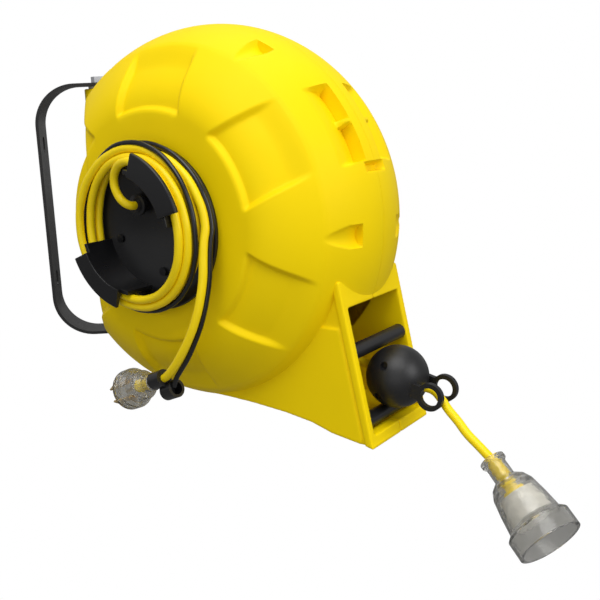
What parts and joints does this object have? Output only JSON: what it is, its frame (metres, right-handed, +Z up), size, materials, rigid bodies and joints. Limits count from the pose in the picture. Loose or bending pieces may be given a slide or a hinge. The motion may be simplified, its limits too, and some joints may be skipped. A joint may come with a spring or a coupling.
{
  "type": "extension cord reel",
  "caption": "Retractable extension cord reel: round two-part case on a swivelling wall bracket, with stop ball, guide rollers, socket, and supply lead wound on a side hub.",
  "frame": {"origin": "centre of the wall bracket's back face, where it meets the wall", "axes": "+X leaves the wall, +Z is up, along the bracket bar and its pivot; at rest the reel is swung 38 degrees towards -Y about the pivot"},
  "size_m": [0.4351, 0.3987, 0.4168],
  "materials": {
    "case_yellow": "satin moulded",
    "black_paint": "powder coated",
    "black_plastic": "moulded, lightly textured",
    "grey_plastic": "moulded",
    "white_plastic": "moulded nylon",
    "cord_yellow": "satin PVC sheath",
    "clear_plastic": "clear moulded plastic",
    "brass": "plain",
    "bronze": "sintered",
    "carbon": "pressed carbon",
    "steel": "zinc plated"
  },
  "bodies": {
    "bracket": {"wall_bracket": "black_paint", "pivot_bolts": "steel", "pivot_washers": "white_plastic", "pivot_nuts": "steel"},
    "case": {"case_near": "case_yellow", "case_far": "case_yellow", "case_screws": "steel", "pivot_bushes": "white_plastic", "spindle": "steel", "spring_arbor": "steel", "hub_cup": "black_plastic", "hub_screws": "steel", "lead_gland": "black_plastic", "brush_block": "grey_plastic", "brushes": "carbon", "brush_springs": "steel", "pawl_pin": "steel", "pawl_spring": "steel", "roller_pins": "steel", "lead_start": "cord_yellow", "lead_coil": "cord_yellow", "lead_tail": "cord_yellow", "tie_cord": "black_plastic", "cord_clip": "black_plastic", "plug_body": "clear_plastic", "plug_cover": "clear_plastic", "plug_pins": "brass", "plug_sleeve": "cord_yellow"},
    "spool": {"spool_near": "grey_plastic", "spool_far": "grey_plastic", "spool_core": "grey_plastic", "spool_bushes": "bronze", "spool_bolts": "steel", "wound_cord": "cord_yellow", "spring_drum": "steel", "drum_cover": "steel", "mainspring": "steel", "ratchet_ring": "grey_plastic", "slip_drum": "white_plastic", "slip_rings": "brass"},
    "pawl": {"ratchet_pawl": "grey_plastic"},
    "roller_upper": {"roller_upper": "grey_plastic"},
    "roller_lower": {"roller_lower": "grey_plastic"},
    "cord_end": {"cord_run": "cord_yellow", "ball_near": "black_plastic", "ball_far": "black_plastic", "ball_screws": "steel", "out_cord": "cord_yellow", "socket_body": "clear_plastic", "socket_insert": "white_plastic", "socket_contacts": "brass", "socket_sleeve": "cord_yellow", "socket_screws": "steel"}
  },
  "joints": [
    {"name": "bracket_swivel", "type": "hinge", "parent": "bracket", "child": "case", "pos_m": [0.064, 0, 0], "axis": [0, 0, 1], "range_deg": [-7, 83]},
    {"name": "spool_spin", "type": "hinge", "parent": "case", "child": "spool", "pos_m": [0.18063, -0.09112, 0], "axis": [-0.6157, -0.788, 0], "range_deg": [0, 68], "stiffness_Nm_per_rad": 0.6, "springref_deg": -171.89, "deforming": ["mainspring"]},
    {"name": "cord_pull", "type": "slide", "parent": "case", "child": "cord_end", "axis": [0.766, -0.5984, -0.2349], "range_m": [0, 0.104]},
    {"name": "pawl_lift", "type": "hinge", "parent": "case", "child": "pawl", "pos_m": [0.20143, -0.10737, 0.09852], "axis": [-0.6157, -0.788, 0], "range_deg": [-10, 0]},
    {"name": "upper_roller_turn", "type": "hinge", "parent": "case", "child": "roller_upper", "pos_m": [0.30616, -0.18919, -0.105], "axis": [-0.6157, -0.788, 0], "continuous": true},
    {"name": "lower_roller_turn", "type": "hinge", "parent": "case", "child": "roller_lower", "pos_m": [0.31262, -0.19424, -0.165], "axis": [-0.6157, -0.788, 0], "continuous": true}
  ],
  "couplings": [
    {"joint": "cord_pull", "follows": "spool_spin", "m_per_rad": 0.087}
  ]
}
